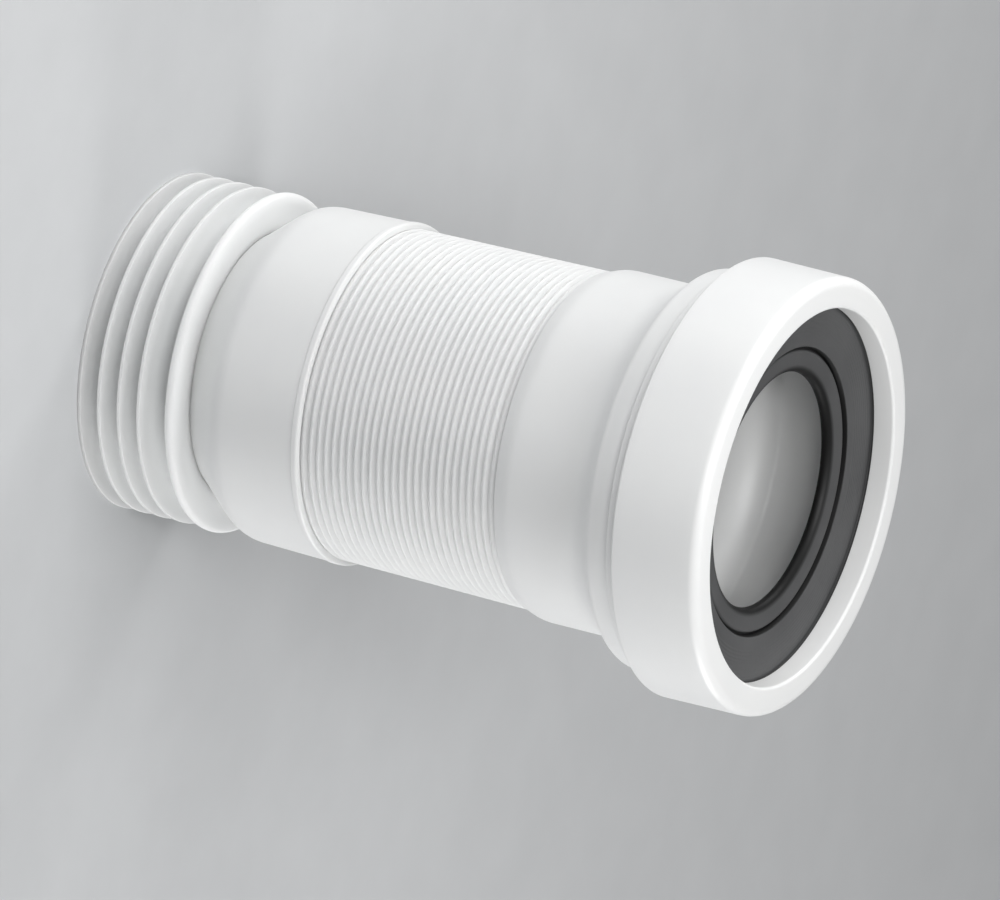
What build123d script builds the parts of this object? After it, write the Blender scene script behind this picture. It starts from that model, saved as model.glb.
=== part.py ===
from build123d import *
import os
from math import radians, tan

# Toilet pan connector: a concertina pipe between the pan's outlet and a soil pipe.
# It stands on its finned outlet, with +Z up the pipe's axis to the pan inlet.
# All sizes are in millimetres. Each piece is one profile turned about the axis.

# Outlet spigot
spigot_bore = 79.0
spigot_wall = 3.0
spigot_length = 34.3
taper_height = 14.2
outlet_collar_wall = 2.6
outlet_collar_proud_of_fins = 0.65
outlet_collar_draft = 0.75
outlet_collar_height = 30.7
outlet_collar_foot_radius = 8.0
outlet_lip_height = 2.4
outlet_lip_proud = 0.3

# Finned sleeve
sleeve_clearance = 0.1
sleeve_wall = 2.0
fin_count = 4
fin_pitch = 7.1
fin_diameter = 108.0
fin_edge_thickness = 1.1
fin_root_thickness = 5.2
flange_proud_of_fins = 0.6
flange_thickness = 3.0
flange_edge_radius = 1.4

# Bellows
pleat_count = 26
pleat_pitch = 2.68
fold_depth = 4.2
groove_depth = 1.4
crest_proud_at_outlet = 1.9
crest_proud_at_inlet = 0.95
cuff_height = 10.0
cuff_wall = 2.0
cuff_clearance = 0.3

# Inlet socket
inlet_collar_bore = 106.5
inlet_collar_wall = 3.0
inlet_collar_height = 32.0
inlet_nose_height = 5.0
inlet_nose_inset = 1.8
inlet_nose_radius = 12.0
ring_step = 7.65
flare_angle = 52.0
flare_radius = 12.0
ring_edge_radius = 2.4
ring_corner_radius = 4.4
ring_height = 24.3
socket_flange_width = 2.1
socket_flange_thickness = 4.0

# Cap and pan seal
cap_clearance = 0.2
cap_wall = 3.8
cap_draft = 0.35
cap_skirt_length = 16.3
cap_tail_height = 3.4
cap_tail_wall = 2.4
cap_front_radius = 3.2
cap_rear_radius = 0.9
cap_lip_depth = 7.2
cap_lip_reach = 6.0
seal_bead_height = 9.8
seal_flange_thickness = 4.2
seal_dish = 1.8
seal_groove_diameter = 90.6
seal_groove_width = 1.4
seal_groove_depth = 2.0
seal_lip_drop = 0.8
seal_lip_thickness = 5.4
seal_lip_bevel = 1.4
throat_diameter = 74.8

# Heights of the joints between the pieces, from the outlet's end up
taper_top = spigot_length + taper_height
bellows_bottom = taper_top + outlet_collar_height
bellows_top = bellows_bottom + pleat_count * pleat_pitch
flare_bottom = bellows_top + inlet_collar_height
flare_height = ring_step / tan(radians(flare_angle))
ring_bottom = flare_bottom + flare_height
socket_top = ring_bottom + ring_height
seal_top = socket_top + seal_bead_height
mouth_height = seal_top + cap_lip_depth

# Radii that more than one piece uses
spigot_radius = spigot_bore / 2 + spigot_wall
fin_radius = fin_diameter / 2
collar_head_radius = fin_radius + outlet_collar_proud_of_fins
collar_foot_radius = collar_head_radius - outlet_collar_draft
outlet_bore_radius = collar_foot_radius - outlet_collar_wall
inlet_bore_radius = inlet_collar_bore / 2
inlet_collar_radius = inlet_bore_radius + inlet_collar_wall
ring_bore_radius = inlet_bore_radius + ring_step
ring_radius = inlet_collar_radius + ring_step
socket_flange_radius = ring_radius + socket_flange_width
socket_flange_bottom = socket_top - socket_flange_thickness
cap_bore_radius = socket_flange_radius + cap_clearance
mouth_radius = socket_flange_radius - cap_lip_reach

os.makedirs("parts", exist_ok=True)

# Outlet spigot: the tube, its taper and the lipped collar under the bellows
spigot_bore_radius = spigot_bore / 2
outlet_lip_radius = collar_head_radius + outlet_lip_proud
outlet_lip_bottom = bellows_bottom - outlet_lip_height
with BuildPart() as outlet_spigot:
    with BuildSketch(Plane.XZ):
        with BuildLine():
            FilletPolyline(
                (spigot_bore_radius, 0),
                (spigot_radius, 0),
                (spigot_radius, spigot_length),
                (collar_foot_radius, taper_top),
                (collar_head_radius, outlet_lip_bottom),
                (outlet_lip_radius, outlet_lip_bottom),
                (outlet_lip_radius, bellows_bottom),
                (outlet_bore_radius, bellows_bottom),
                (outlet_bore_radius, taper_top + outlet_collar_wall),
                (spigot_bore_radius, spigot_length + spigot_wall),
                radius=[0, 0, 0, outlet_collar_foot_radius, 0, 0, 0, 0, 0, 0],
                close=True,
            )
        make_face()
    revolve(axis=Axis.Z)
outlet_spigot.part.label = "outlet_spigot"
export_step(outlet_spigot.part, "parts/outlet_spigot.step")

# Finned sleeve: a soft tube on the spigot, with a rounded flange and a row of thin fins
sleeve_bore_radius = spigot_radius + sleeve_clearance
fin_reach = fin_radius - sleeve_bore_radius
flange_reach = fin_reach + flange_proud_of_fins
with BuildPart() as finned_sleeve:
    with BuildSketch(Plane.XZ) as sleeve_section:
        with Locations((sleeve_bore_radius, spigot_length)):
            Rectangle(flange_reach, flange_thickness, align=(Align.MIN, Align.MAX))
        fillet(sleeve_section.vertices().group_by(Axis.X)[-1], flange_edge_radius)
        with Locations((sleeve_bore_radius, 0)):
            Rectangle(sleeve_wall, spigot_length, align=(Align.MIN, Align.MIN))
        with Locations(*[(sleeve_bore_radius, number * fin_pitch) for number in range(fin_count)]):
            Polygon(
                (0, 0),
                (fin_reach, 0),
                (fin_reach, fin_edge_thickness),
                (0, fin_root_thickness),
                align=None,
            )
    revolve(axis=Axis.Z)
finned_sleeve.part.label = "finned_sleeve"
export_step(finned_sleeve.part, "parts/finned_sleeve.step")

# Bellows: folds pressed together into one zigzag wall, between two cuffs in the collars' bores.
# The grooves between the folds are all that shows outside, and the crests widen towards the inlet.
outlet_cuff_radius = outlet_bore_radius - cuff_clearance
inlet_cuff_radius = inlet_bore_radius - cuff_clearance
first_crest_radius = outlet_bore_radius + crest_proud_at_outlet
last_crest_radius = inlet_bore_radius + crest_proud_at_inlet
crest_growth = (last_crest_radius - first_crest_radius) / pleat_count
outer_points = [(outlet_cuff_radius, bellows_bottom - cuff_height), (outlet_cuff_radius, bellows_bottom)]
inner_points = [(radius - cuff_wall, height) for radius, height in outer_points]
for pleat in range(pleat_count):
    crest_radius = first_crest_radius + (pleat + 0.5) * crest_growth
    crest_height = bellows_bottom + (pleat + 0.5) * pleat_pitch
    if pleat > 0:
        outer_points.append((crest_radius - groove_depth, crest_height - pleat_pitch / 2))
        inner_points.append((crest_radius - fold_depth, crest_height - pleat_pitch / 2))
    outer_points.append((crest_radius, crest_height))
    inner_points.append((crest_radius - fold_depth + groove_depth, crest_height))
inlet_cuff_points = [(inlet_cuff_radius, bellows_top), (inlet_cuff_radius, bellows_top + cuff_height)]
outer_points += inlet_cuff_points
inner_points += [(radius - cuff_wall, height) for radius, height in inlet_cuff_points]
with BuildPart() as bellows:
    with BuildSketch(Plane.XZ):
        with BuildLine():
            Polyline(*outer_points, *reversed(inner_points), close=True)
        make_face()
    revolve(axis=Axis.Z)
bellows.part.label = "bellows"
export_step(bellows.part, "parts/bellows.step")

# Inlet socket: the collar over the bellows, the flare, the step ring and the front flange
inner_flare_bottom = flare_bottom + inlet_collar_wall * tan(radians(flare_angle / 2))
with BuildPart() as inlet_socket:
    with BuildSketch(Plane.XZ):
        with BuildLine():
            FilletPolyline(
                (inlet_bore_radius, bellows_top),
                (inlet_collar_radius - inlet_nose_inset, bellows_top),
                (inlet_collar_radius, bellows_top + inlet_nose_height),
                (inlet_collar_radius, flare_bottom),
                (ring_radius, ring_bottom),
                (ring_radius, socket_flange_bottom),
                (socket_flange_radius, socket_flange_bottom),
                (socket_flange_radius, socket_top),
                (ring_bore_radius, socket_top),
                (ring_bore_radius, inner_flare_bottom + flare_height),
                (inlet_bore_radius, inner_flare_bottom),
                radius=[
                    0,
                    0,
                    inlet_nose_radius,
                    flare_radius,
                    ring_edge_radius,
                    0,
                    0,
                    0,
                    0,
                    ring_corner_radius,
                    flare_radius,
                ],
                close=True,
            )
        make_face()
    revolve(axis=Axis.Z)
inlet_socket.part.label = "inlet_socket"
export_step(inlet_socket.part, "parts/inlet_socket.step")

# Seal cap: the wide cup, hooked behind the socket's flange, with a lip over the seal
cap_radius = cap_bore_radius + cap_wall
cap_hook_radius = ring_radius + cap_clearance
cap_tail_radius = cap_hook_radius + cap_tail_wall
cap_tail_bottom = socket_top - cap_skirt_length
cap_rear = cap_tail_bottom + cap_tail_height
with BuildPart() as seal_cap:
    with BuildSketch(Plane.XZ):
        with BuildLine():
            FilletPolyline(
                (cap_hook_radius, cap_tail_bottom),
                (cap_tail_radius, cap_tail_bottom),
                (cap_tail_radius, cap_rear),
                (cap_radius, cap_rear),
                (cap_radius - cap_draft, mouth_height),
                (mouth_radius, mouth_height),
                (mouth_radius, seal_top),
                (cap_bore_radius, seal_top),
                (cap_bore_radius, socket_flange_bottom),
                (cap_hook_radius, socket_flange_bottom),
                radius=[0, 0, 0, cap_rear_radius, cap_front_radius, 0, 0, 0, 0, 0],
                close=True,
            )
        make_face()
    revolve(axis=Axis.Z)
seal_cap.part.label = "seal_cap"
export_step(seal_cap.part, "parts/seal_cap.step")

# Pan seal: an outer bead clamped under the cap's lip, a dished flange, a groove and a thick lip
throat_radius = throat_diameter / 2
groove_radius = seal_groove_diameter / 2
groove_top = seal_top - seal_dish
lip_top = groove_top - seal_lip_drop
lip_bottom = lip_top - seal_lip_thickness
with BuildPart() as pan_seal:
    with BuildSketch(Plane.XZ):
        with BuildLine():
            Polyline(
                (socket_flange_radius, socket_top),
                (socket_flange_radius, seal_top),
                (mouth_radius, seal_top),
                (groove_radius + seal_groove_width / 2, groove_top),
                (groove_radius, groove_top - seal_groove_depth),
                (groove_radius - seal_groove_width / 2, lip_top),
                (throat_radius + seal_lip_bevel, lip_top),
                (throat_radius, lip_top - seal_lip_bevel),
                (throat_radius, lip_bottom + seal_lip_bevel),
                (throat_radius + seal_lip_bevel, lip_bottom),
                (groove_radius, lip_bottom),
                (ring_bore_radius, seal_top - seal_flange_thickness),
                (ring_bore_radius, socket_top),
                close=True,
            )
        make_face()
    revolve(axis=Axis.Z)
pan_seal.part.label = "pan_seal"
export_step(pan_seal.part, "parts/pan_seal.step")
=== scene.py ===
from math import acos, atan2, ceil, cos, pi, radians, sin, tan

import bpy
from mathutils import Matrix, Vector


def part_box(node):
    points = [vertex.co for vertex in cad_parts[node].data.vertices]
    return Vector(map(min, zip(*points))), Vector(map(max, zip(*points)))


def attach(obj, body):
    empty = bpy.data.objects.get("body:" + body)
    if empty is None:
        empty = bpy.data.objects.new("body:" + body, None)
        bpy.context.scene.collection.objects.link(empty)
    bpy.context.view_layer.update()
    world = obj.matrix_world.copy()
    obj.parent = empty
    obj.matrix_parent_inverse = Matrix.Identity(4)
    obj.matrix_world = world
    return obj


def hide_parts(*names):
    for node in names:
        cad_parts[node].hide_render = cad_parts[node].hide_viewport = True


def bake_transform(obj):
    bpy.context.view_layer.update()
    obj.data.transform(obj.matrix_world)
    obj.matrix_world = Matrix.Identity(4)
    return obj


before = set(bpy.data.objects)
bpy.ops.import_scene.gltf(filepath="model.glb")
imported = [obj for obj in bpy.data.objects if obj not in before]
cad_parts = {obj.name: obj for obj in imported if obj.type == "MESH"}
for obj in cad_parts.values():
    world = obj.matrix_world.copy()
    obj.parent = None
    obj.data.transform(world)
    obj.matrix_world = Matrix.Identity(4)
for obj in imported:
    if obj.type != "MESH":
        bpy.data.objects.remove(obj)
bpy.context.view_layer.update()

# Toilet pan connector: six turned pieces, five of them on two bodies and the bellows between them.
# Lengths are in metres, and MM turns millimetres into them. A name that ends in round is a fillet's radius.
MM = 0.001

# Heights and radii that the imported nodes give
spigot_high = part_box("outlet_spigot")[1]
sleeve_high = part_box("finned_sleeve")[1]
bellows_low, bellows_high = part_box("bellows")
socket_low, socket_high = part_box("inlet_socket")
seal_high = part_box("pan_seal")[1]
cap_low, cap_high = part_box("seal_cap")
spigot_length = sleeve_high.z
bellows_bottom = spigot_high.z
bellows_top = socket_low.z
socket_top = socket_high.z
seal_top = seal_high.z
mouth_height = cap_high.z

# Outlet spigot
spigot_bore_radius = 39.5 * MM
spigot_wall = 3.0 * MM
spigot_radius = spigot_bore_radius + spigot_wall
spigot_end_round = 0.6 * MM
taper_height = 14.2 * MM
taper_top = spigot_length + taper_height
taper_root_round = 1.2 * MM
inner_taper_round = 3.0 * MM
outlet_bore_radius = 51.3 * MM
outlet_bore_round = 0.4 * MM
outlet_collar_wall = 2.6 * MM
outlet_collar_draft = 0.75 * MM
outlet_collar_round = 10.0 * MM
outlet_lip_radius = spigot_high.x
outlet_lip_height = 2.4 * MM
outlet_lip_bottom = bellows_bottom - outlet_lip_height
outlet_lip_slope = 0.4 * MM
outlet_lip_root_round = 0.3 * MM
outlet_lip_lower_round = 0.4 * MM
outlet_lip_upper_round = 0.8 * MM

# Finned sleeve
sleeve_clearance = 0.1 * MM
sleeve_wall = 2.0 * MM
sleeve_bore_radius = spigot_radius + sleeve_clearance
sleeve_radius = sleeve_bore_radius + sleeve_wall
sleeve_top_round = 0.3 * MM
sleeve_end_round = 0.4 * MM
fin_count = 4
fin_pitch = 7.1 * MM
fin_radius = 54.0 * MM
fin_edge_thickness = 1.1 * MM
fin_root_thickness = 5.2 * MM
fin_edge_round = 0.25 * MM
first_fin_edge_round = 0.1 * MM
fin_foot_round = 0.8 * MM
fin_root_round = 1.4 * MM
flange_radius = sleeve_high.x
flange_thickness = 3.0 * MM
flange_bottom = spigot_length - flange_thickness
flange_lower_round = 1.45 * MM
flange_upper_round = 1.5 * MM

# Bellows
pleat_count = 26
pleat_depth = 1.1 * MM
end_pleat_depth = 0.5 * MM
pleat_wall = 2.8 * MM
crest_radius_at_outlet = 53.2 * MM
crest_radius_at_inlet = 54.2 * MM
cuff_wall = 2.0 * MM
cuff_clearance = 0.3 * MM
points_in_pleat_outside = 10
points_in_pleat_inside = 6

# Inlet socket
inlet_bore_radius = 53.25 * MM
inlet_bore_round = 0.4 * MM
inlet_collar_wall = 3.0 * MM
inlet_collar_height = 32.0 * MM
inlet_collar_radius = inlet_bore_radius + inlet_collar_wall
nose_height = 5.0 * MM
nose_inset = 1.8 * MM
nose_end_round = 0.6 * MM
nose_round = 11.0 * MM
ring_step = 7.65 * MM
ring_radius = inlet_collar_radius + ring_step
ring_bore_radius = inlet_bore_radius + ring_step
ring_bore_round = 0.5 * MM
ring_edge_round = 2.4 * MM
ring_corner_round = 2.0 * MM
flare_angle = radians(52.0)
flare_bottom = bellows_top + inlet_collar_height
flare_height = ring_step / tan(flare_angle)
flare_round = 12.0 * MM
inner_flare_bottom = flare_bottom + inlet_collar_wall * tan(flare_angle / 2)
socket_flange_radius = socket_high.x
socket_flange_thickness = 4.0 * MM
socket_flange_bottom = socket_top - socket_flange_thickness

# Seal cap
cap_clearance = 0.2 * MM
cap_radius = cap_high.x
cap_draft = 0.3 * MM
cap_bore_radius = socket_flange_radius + cap_clearance
cap_hook_radius = ring_radius + cap_clearance
cap_hook_round = 0.2 * MM
cap_tail_wall = 2.4 * MM
cap_tail_height = 3.4 * MM
cap_tail_radius = cap_hook_radius + cap_tail_wall
cap_tail_round = 0.35 * MM
cap_tail_root_round = 0.25 * MM
cap_rear = cap_low.z + cap_tail_height
cap_rear_round = 0.9 * MM
cap_front_round = 3.2 * MM
mouth_radius = 60.0 * MM
mouth_edge_round = 1.0 * MM
mouth_root_round = 0.2 * MM

# Pan seal
seal_bead_cover = 0.8 * MM
seal_flange_cover = 0.5 * MM
seal_undercut = 1.0 * MM
seal_step_round = 0.2 * MM
seal_dish = 1.8 * MM
seal_flange_thickness = 4.2 * MM
seal_rear_round = 1.0 * MM
ripple_count = 9
ripple_height = 0.09 * MM
ripple_pitch = 1.1 * MM
points_in_ripple = 4
groove_radius = 45.3 * MM
groove_width = 1.4 * MM
groove_depth = 2.0 * MM
groove_floor_share = 0.3
groove_edge_round = 0.5 * MM
groove_top = seal_top - seal_dish
lip_drop = 0.8 * MM
lip_thickness = 5.4 * MM
lip_top = groove_top - lip_drop
lip_bottom = lip_top - lip_thickness
lip_sag = 0.9 * MM
lip_rise = 1.2 * MM
lip_edge_round = 0.9 * MM
throat_radius = 37.4 * MM
throat_upper_round = 2.6 * MM
throat_lower_round = 1.2 * MM

# How finely turned pieces are drawn
turns = 208
arc_step = radians(11)
fewest_arc_parts = 3
longest_run = 2.5 * MM
sharp_angle = radians(32)


def arc_points(before, corner, after, fillet):
    """Points of the arc that rounds a corner between its two neighbours."""
    into = (before - corner).normalized()
    out = (after - corner).normalized()
    between = acos(max(-1.0, min(1.0, into.dot(out))))
    reach = fillet / tan(between / 2)
    centre = corner + (into + out).normalized() * fillet / sin(between / 2)
    first = corner + into * reach - centre
    turned = pi - between
    side = 1 if first.x * (corner.y - centre.y) - first.y * (corner.x - centre.x) > 0 else -1
    parts = max(fewest_arc_parts, ceil(turned / arc_step))
    start = atan2(first.y, first.x)
    angles = [start + side * turned * part / parts for part in range(parts + 1)]
    return [centre + fillet * Vector((cos(angle), sin(angle))) for angle in angles]


def rounded(corners):
    """Outline of (radius, height) points from corners (radius, height, fillet), with long runs divided."""
    outline = []
    for index, (radius, height, fillet) in enumerate(corners):
        before = Vector(corners[index - 1][:2])
        corner = Vector((radius, height))
        after = Vector(corners[(index + 1) % len(corners)][:2])
        outline += arc_points(before, corner, after, fillet) if fillet > 0 else [corner]
    divided = []
    for index, point in enumerate(outline):
        following = outline[(index + 1) % len(outline)]
        parts = max(1, ceil((following - point).length / longest_run))
        divided += [point.lerp(following, part / parts) for part in range(parts)]
    return divided


def lathe(name, outline, material):
    """A closed outline of (radius, height) points turned about Z."""
    area = sum(a.x * b.y - b.x * a.y for a, b in zip(outline, outline[1:] + outline[:1]))
    ring = outline if area > 0 else outline[::-1]
    count = len(ring)
    vertices = []
    for turn in range(turns):
        angle = 2 * pi * turn / turns
        vertices += [(point.x * cos(angle), point.x * sin(angle), point.y) for point in ring]
    faces = []
    for turn in range(turns):
        here = turn * count
        there = (turn + 1) % turns * count
        for index in range(count):
            following = (index + 1) % count
            faces.append((here + index, there + index, there + following, here + following))
    mesh = bpy.data.meshes.new(name)
    mesh.from_pydata(vertices, [], faces)
    mesh.polygons.foreach_set("use_smooth", [True] * len(faces))
    mesh.set_sharp_from_angle(angle=sharp_angle)
    mesh.materials.append(material)
    piece = bpy.data.objects.new(name, mesh)
    bpy.context.scene.collection.objects.link(piece)
    return piece


def outlet_outline():
    """Spigot tube, taper and lipped collar."""
    collar_foot_radius = outlet_bore_radius + outlet_collar_wall
    return rounded([
        (spigot_bore_radius, 0, spigot_end_round),
        (spigot_radius, 0, spigot_end_round),
        (spigot_radius, spigot_length, taper_root_round),
        (collar_foot_radius, taper_top, outlet_collar_round),
        (collar_foot_radius + outlet_collar_draft, outlet_lip_bottom, outlet_lip_root_round),
        (outlet_lip_radius, outlet_lip_bottom + outlet_lip_slope, outlet_lip_lower_round),
        (outlet_lip_radius, bellows_bottom, outlet_lip_upper_round),
        (outlet_bore_radius, bellows_bottom, outlet_bore_round),
        (outlet_bore_radius, taper_top + outlet_collar_wall, inner_taper_round),
        (spigot_bore_radius, spigot_length + spigot_wall, inner_taper_round),
    ])


def sleeve_outline():
    """Soft tube with a rounded flange and thin fins."""
    corners = [
        (sleeve_bore_radius, spigot_length, sleeve_top_round),
        (sleeve_bore_radius, 0, sleeve_end_round),
    ]
    for number in range(fin_count):
        bottom = number * fin_pitch
        if number > 0:
            corners.append((sleeve_radius, bottom, fin_foot_round))
        corners += [
            (fin_radius, bottom, fin_edge_round if number > 0 else first_fin_edge_round),
            (fin_radius, bottom + fin_edge_thickness, fin_edge_round),
            (sleeve_radius, bottom + fin_root_thickness, fin_root_round),
        ]
    corners += [
        (sleeve_radius, flange_bottom, fin_foot_round),
        (flange_radius, flange_bottom, flange_lower_round),
        (flange_radius, spigot_length, flange_upper_round),
    ]
    return rounded(corners)


def pleat_points(points_in_pleat, inset, end_depth):
    """Points of the pleats from the outlet to the inlet, moved inwards by an inset."""
    points = []
    for number in range(pleat_count):
        for part in range(points_in_pleat):
            within = (part + 0.5) / points_in_pleat
            share = (number + within) / pleat_count
            past_crest = 2 * within - 1
            at_end = (number == 0 and past_crest < 0) or (number == pleat_count - 1 and past_crest > 0)
            depth = end_depth if at_end else pleat_depth
            crest_radius = crest_radius_at_outlet + (crest_radius_at_inlet - crest_radius_at_outlet) * share
            drop = depth * (1 - cos(pi * past_crest)) / 2
            height = bellows_bottom + (bellows_top - bellows_bottom) * share
            points.append(Vector((crest_radius - drop - inset, height)))
    return points


def bellows_outline():
    """Rounded pleats between two plain cuffs."""
    outlet_cuff = outlet_bore_radius - cuff_clearance
    inlet_cuff = inlet_bore_radius - cuff_clearance
    outside = [
        Vector((outlet_cuff, bellows_low.z)),
        Vector((outlet_cuff, bellows_bottom)),
        *pleat_points(points_in_pleat_outside, 0, end_pleat_depth),
        Vector((inlet_cuff, bellows_top)),
        Vector((inlet_cuff, bellows_high.z)),
    ]
    inside = [
        Vector((outlet_cuff - cuff_wall, bellows_low.z)),
        Vector((outlet_cuff - cuff_wall, bellows_bottom)),
        *pleat_points(points_in_pleat_inside, pleat_wall, pleat_depth),
        Vector((inlet_cuff - cuff_wall, bellows_top)),
        Vector((inlet_cuff - cuff_wall, bellows_high.z)),
    ]
    return outside + inside[::-1]


def socket_outline():
    """Collar over the bellows, flare, step ring and front flange."""
    return rounded([
        (inlet_bore_radius, bellows_top, inlet_bore_round),
        (inlet_collar_radius - nose_inset, bellows_top, nose_end_round),
        (inlet_collar_radius, bellows_top + nose_height, nose_round),
        (inlet_collar_radius, flare_bottom, flare_round),
        (ring_radius, flare_bottom + flare_height, ring_edge_round),
        (ring_radius, socket_flange_bottom, 0),
        (socket_flange_radius, socket_flange_bottom, 0),
        (socket_flange_radius, socket_top, 0),
        (ring_bore_radius, socket_top, ring_bore_round),
        (ring_bore_radius, inner_flare_bottom + flare_height, ring_corner_round),
        (inlet_bore_radius, inner_flare_bottom, flare_round),
    ])


def cap_outline():
    """Wide cup with a thin tail behind and a lip over the seal in front."""
    return rounded([
        (cap_hook_radius, cap_low.z, cap_hook_round),
        (cap_tail_radius, cap_low.z, cap_tail_round),
        (cap_tail_radius, cap_rear, cap_tail_root_round),
        (cap_radius, cap_rear, cap_rear_round),
        (cap_radius - cap_draft, mouth_height, cap_front_round),
        (mouth_radius, mouth_height, mouth_edge_round),
        (mouth_radius, seal_top, mouth_root_round),
        (cap_bore_radius, seal_top, 0),
        (cap_bore_radius, socket_flange_bottom, 0),
        (cap_hook_radius, socket_flange_bottom, 0),
    ])


def seal_outline():
    """Clamped bead, dished and rippled flange, groove and thick rounded lip."""
    half_groove = groove_width / 2
    half_floor = half_groove * groove_floor_share
    groove_floor = groove_top - groove_depth
    flange_edge = Vector((mouth_radius + seal_flange_cover, seal_top - seal_undercut))
    flange_foot = Vector((groove_radius + half_groove, groove_top))
    ripples = []
    for number in range(ripple_count * points_in_ripple):
        inward = (number / points_in_ripple + 1) * ripple_pitch
        place = flange_edge.lerp(flange_foot, inward / (flange_edge.x - flange_foot.x))
        drop = ripple_height * (1 - cos(2 * pi * number / points_in_ripple)) / 2
        ripples.append((place.x, place.y - drop, 0))
    return rounded([
        (socket_flange_radius, socket_top, 0),
        (socket_flange_radius, seal_top, 0),
        (mouth_radius + seal_bead_cover, seal_top, seal_step_round),
        (*flange_edge, seal_step_round),
        *ripples,
        (groove_radius + half_groove, groove_top, groove_edge_round),
        (groove_radius + half_floor, groove_floor, 0),
        (groove_radius - half_floor, groove_floor, 0),
        (groove_radius - half_groove, lip_top, lip_edge_round),
        (throat_radius, lip_top - lip_sag, throat_upper_round),
        (throat_radius, lip_bottom + lip_rise, throat_lower_round),
        (groove_radius, lip_bottom, seal_rear_round),
        (ring_bore_radius, seal_top - seal_flange_thickness, seal_rear_round),
        (ring_bore_radius, socket_top, 0),
    ])


# Clouds in the materials: their scale, and the part of the noise that the colours and gloss span
cloud_scale = 38.0
cloud_low = 0.3
cloud_high = 0.7
grain_height = 0.2 * MM


def node(tree, kind, **inputs):
    """A shader node with values on its sockets."""
    made = tree.nodes.new(kind)
    for name, value in inputs.items():
        made.inputs[name.replace("_", " ")].default_value = value
    return made


def plastic(name, dark, light, smooth, rough, grain_scale, grain_strength, specular=0.5, scatter_depth=0.0):
    """Moulded plastic or rubber: faint cloudy colour, uneven gloss and a fine grain."""
    material = bpy.data.materials.new(name)
    material.use_nodes = True
    tree = material.node_tree
    shader = tree.nodes["Principled BSDF"]
    place = node(tree, "ShaderNodeTexCoord")
    cloud = node(tree, "ShaderNodeTexNoise", Scale=cloud_scale, Detail=3.0, Roughness=0.55)
    tint = node(tree, "ShaderNodeValToRGB")
    tint.color_ramp.elements[0].position = cloud_low
    tint.color_ramp.elements[0].color = (*dark, 1)
    tint.color_ramp.elements[1].position = cloud_high
    tint.color_ramp.elements[1].color = (*light, 1)
    gloss = node(
        tree,
        "ShaderNodeMapRange",
        From_Min=cloud_low,
        From_Max=cloud_high,
        To_Min=smooth,
        To_Max=rough,
    )
    grain = node(tree, "ShaderNodeTexNoise", Scale=grain_scale, Detail=2.0, Roughness=0.6)
    bump = node(tree, "ShaderNodeBump", Strength=grain_strength, Distance=grain_height)
    links = tree.links
    links.new(place.outputs["Object"], cloud.inputs["Vector"])
    links.new(place.outputs["Object"], grain.inputs["Vector"])
    links.new(cloud.outputs["Fac"], tint.inputs["Fac"])
    links.new(cloud.outputs["Fac"], gloss.inputs["Value"])
    links.new(tint.outputs["Color"], shader.inputs["Base Color"])
    links.new(gloss.outputs["Result"], shader.inputs["Roughness"])
    links.new(grain.outputs["Fac"], bump.inputs["Height"])
    links.new(bump.outputs["Normal"], shader.inputs["Normal"])
    shader.inputs["Specular IOR Level"].default_value = specular
    if scatter_depth > 0:
        shader.inputs["Subsurface Weight"].default_value = 1.0
        shader.inputs["Subsurface Radius"].default_value = (1.0, 1.0, 1.0)
        shader.inputs["Subsurface Scale"].default_value = scatter_depth
    return material


def paint_shade_by_radius(material, inner, outer, below, stops):
    """Multiply a material's colour, under a height, by a ramp of stops (radius, share) about the axis:
    painted shade.
    """
    fade = 0.3 * MM
    tree = material.node_tree
    shader = tree.nodes["Principled BSDF"]
    tint = shader.inputs["Base Color"].links[0].from_socket
    place = node(tree, "ShaderNodeTexCoord")
    flat = node(tree, "ShaderNodeVectorMath")
    flat.operation = "MULTIPLY"
    flat.inputs[1].default_value = (1, 1, 0)
    radius = node(tree, "ShaderNodeVectorMath")
    radius.operation = "LENGTH"
    share = node(tree, "ShaderNodeMapRange", From_Min=inner, From_Max=outer)
    ramp = node(tree, "ShaderNodeValToRGB")
    elements = ramp.color_ramp.elements
    while len(elements) < len(stops):
        elements.new(0.5)
    for element, (stop, level) in zip(elements, stops):
        element.position = (stop - inner) / (outer - inner)
        element.color = (level, level, level, 1)
    parted = node(tree, "ShaderNodeSeparateXYZ")
    under = node(tree, "ShaderNodeMapRange", From_Min=below - fade, From_Max=below, To_Min=1.0, To_Max=0.0)
    mix = node(tree, "ShaderNodeMix")
    mix.data_type = "RGBA"
    mix.blend_type = "MULTIPLY"
    links = tree.links
    links.new(place.outputs["Object"], flat.inputs[0])
    links.new(flat.outputs["Vector"], radius.inputs[0])
    links.new(radius.outputs["Value"], share.inputs["Value"])
    links.new(share.outputs["Result"], ramp.inputs["Fac"])
    links.new(place.outputs["Object"], parted.inputs["Vector"])
    links.new(parted.outputs["Z"], under.inputs["Value"])
    links.new(under.outputs["Result"], mix.inputs["Factor"])
    links.new(tint, mix.inputs["A"])
    links.new(ramp.outputs["Color"], mix.inputs["B"])
    links.new(mix.outputs["Result"], shader.inputs["Base Color"])


white_plastic = plastic(
    "white_plastic",
    dark=(0.84, 0.845, 0.845),
    light=(0.86, 0.865, 0.86),
    smooth=0.36,
    rough=0.46,
    grain_scale=1400.0,
    grain_strength=0.06,
)

bellows_plastic = plastic(
    "bellows_plastic",
    dark=(0.83, 0.84, 0.84),
    light=(0.85, 0.855, 0.85),
    smooth=0.45,
    rough=0.55,
    grain_scale=1100.0,
    grain_strength=0.08,
    specular=0.2,
    scatter_depth=4.0 * MM,
)
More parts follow.
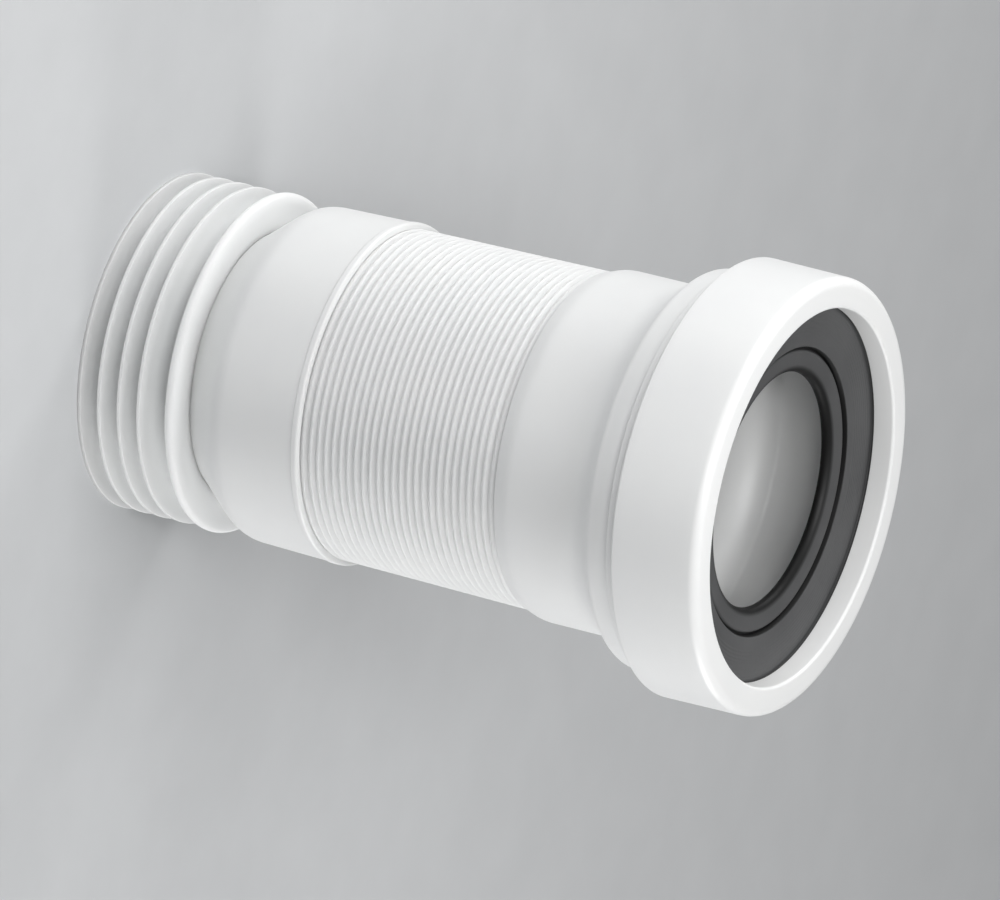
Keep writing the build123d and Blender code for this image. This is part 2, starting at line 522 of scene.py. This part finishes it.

# Painted shade: the fins' faces are a little greyer near their rims, where the lamps light them most, and
# the rims and the flange are not
white_rubber = plastic(
    "white_rubber",
    dark=(0.85, 0.86, 0.86),
    light=(0.87, 0.88, 0.875),
    smooth=0.50,
    rough=0.62,
    grain_scale=900.0,
    grain_strength=0.10,
    specular=0.2,
    scatter_depth=7.0 * MM,
)
paint_shade_by_radius(white_rubber, sleeve_radius, flange_radius, flange_bottom, [
    (sleeve_radius + 4.0 * MM, 1.0),
    (fin_radius - 3.0 * MM, 0.9),
    (fin_radius - 1.5 * MM, 0.85),
    (fin_radius - 0.3 * MM, 0.85),
    (fin_radius - 0.1 * MM, 1.0),
    (fin_radius + 0.3 * MM, 1.0),
])

# Painted shade on the seal: nearly black in its throat and its groove, and darker at the flange's outer
# edge under the cap's lip
grey_rubber = plastic(
    "grey_rubber",
    dark=(0.074, 0.075, 0.077),
    light=(0.102, 0.103, 0.105),
    smooth=0.45,
    rough=0.58,
    grain_scale=700.0,
    grain_strength=0.15,
    specular=0.3,
)
paint_shade_by_radius(grey_rubber, throat_radius, mouth_radius, mouth_height, [
    (throat_radius, 0.03),
    (throat_radius + 1.2 * MM, 0.06),
    (throat_radius + 2.6 * MM, 0.85),
    (groove_radius - 0.8 * MM, 0.9),
    (groove_radius - 0.1 * MM, 0.05),
    (groove_radius + 0.65 * MM, 0.05),
    (groove_radius + 0.9 * MM, 0.95),
    (mouth_radius - 0.8 * MM, 0.9),
    (mouth_radius, 0.6),
])

pale_floor = plastic(
    "pale_floor",
    dark=(0.62, 0.63, 0.64),
    light=(0.64, 0.65, 0.66),
    smooth=0.85,
    rough=0.95,
    grain_scale=40.0,
    grain_strength=0.0,
)

# Pieces on the outlet
outlet = lathe("outlet_collar_and_spigot", outlet_outline(), white_plastic)
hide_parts("outlet_spigot")
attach(outlet, "outlet")

sleeve = lathe("soft_finned_sleeve", sleeve_outline(), white_rubber)
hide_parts("finned_sleeve")
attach(sleeve, "outlet")

# Pieces on the inlet
socket = lathe("stepped_inlet_socket", socket_outline(), white_plastic)
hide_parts("inlet_socket")
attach(socket, "inlet")

cap = lathe("wide_seal_cap", cap_outline(), white_plastic)
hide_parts("seal_cap")
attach(cap, "inlet")

seal = lathe("rubber_pan_seal", seal_outline(), grey_rubber)
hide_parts("pan_seal")
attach(seal, "inlet")

# The bellows between the two, on neither body
pleats = lathe("concertina_bellows", bellows_outline(), bellows_plastic)
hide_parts("bellows")
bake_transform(pleats)

# Floor
floor_reach = 30.0
floor_mesh = bpy.data.meshes.new("floor")
floor_corners = [(x * floor_reach, y * floor_reach, 0) for x, y in ((-1, -1), (1, -1), (1, 1), (-1, 1))]
floor_mesh.from_pydata(floor_corners, [], [(0, 1, 2, 3)])
floor_mesh.materials.append(pale_floor)
floor = bpy.data.objects.new("floor", floor_mesh)
bpy.context.scene.collection.objects.link(floor)

# Camera at the photograph's viewing angle, rolled so that the pipe lies across the picture.
# The mouth's centre is placed by where the camera sees it: right, up and back, in metres.
view_elevation = radians(25.714)
view_roll = radians(103.9096)
mouth_centre = Vector((0, 0, 0.228))
mouth_in_view = Vector((0.09355, -0.01494, -5.545))
camera_data = bpy.data.cameras.new("camera")
camera_data.lens = 646.344
camera_data.sensor_width = 36.0
camera_data.clip_end = 100.0
camera = bpy.data.objects.new("camera", camera_data)
bpy.context.scene.collection.objects.link(camera)
camera_turn = Matrix.Rotation(pi / 2 - view_elevation, 4, "X") @ Matrix.Rotation(view_roll, 4, "Z")
camera.matrix_world = Matrix.Translation(mouth_centre - camera_turn @ mouth_in_view) @ camera_turn
bpy.context.scene.camera = camera


def soft_box(name, place, size, power, aim_height):
    """A round area lamp that points at a height on the part's axis."""
    lamp = bpy.data.lights.new(name, "AREA")
    lamp.shape = "DISK"
    lamp.size = size
    lamp.energy = power
    holder = bpy.data.objects.new(name, lamp)
    bpy.context.scene.collection.objects.link(holder)
    holder.location = place
    aim = Vector((0, 0, aim_height)) - Vector(place)
    holder.rotation_euler = aim.to_track_quat("-Z", "Y").to_euler()


# Lamps at both sides, where -X is the picture's upper side, and weaker ones in front and over the mouth
middle = 0.12
mouth = 0.2
soft_box("upper_front_light", (-1.4, -0.45, 0.30), 0.6, 3.9, middle)
soft_box("high_upper_front_light", (-1.15, -0.65, 0.78), 0.4, 1.9, middle)
soft_box("upper_back_light", (-1.4, 0.45, 0.32), 0.6, 6.8, middle)
soft_box("high_upper_back_light", (-1.25, 0.5, 0.72), 0.4, 2.6, middle)
soft_box("low_back_light", (1.3, 0.45, 0.28), 0.55, 11.7, middle)
soft_box("front_light", (-0.05, -1.18, 0.92), 0.4, 3.0, middle)
soft_box("high_front_light", (-0.05, -1.02, 1.16), 0.2, 2.0, middle)
soft_box("mouth_light", (-0.04, -0.22, 0.62), 0.2, 1.08, mouth)
soft_box("rim_light", (-0.05, 0.1, 0.75), 0.3, 0.35, mouth)

world = bpy.data.worlds.new("studio")
world.use_nodes = True
background = world.node_tree.nodes["Background"]
background.inputs["Color"].default_value = (1.0, 1.0, 1.0, 1)
background.inputs["Strength"].default_value = 0.2
bpy.context.scene.world = world
bpy.context.scene.view_settings.view_transform = "Standard"
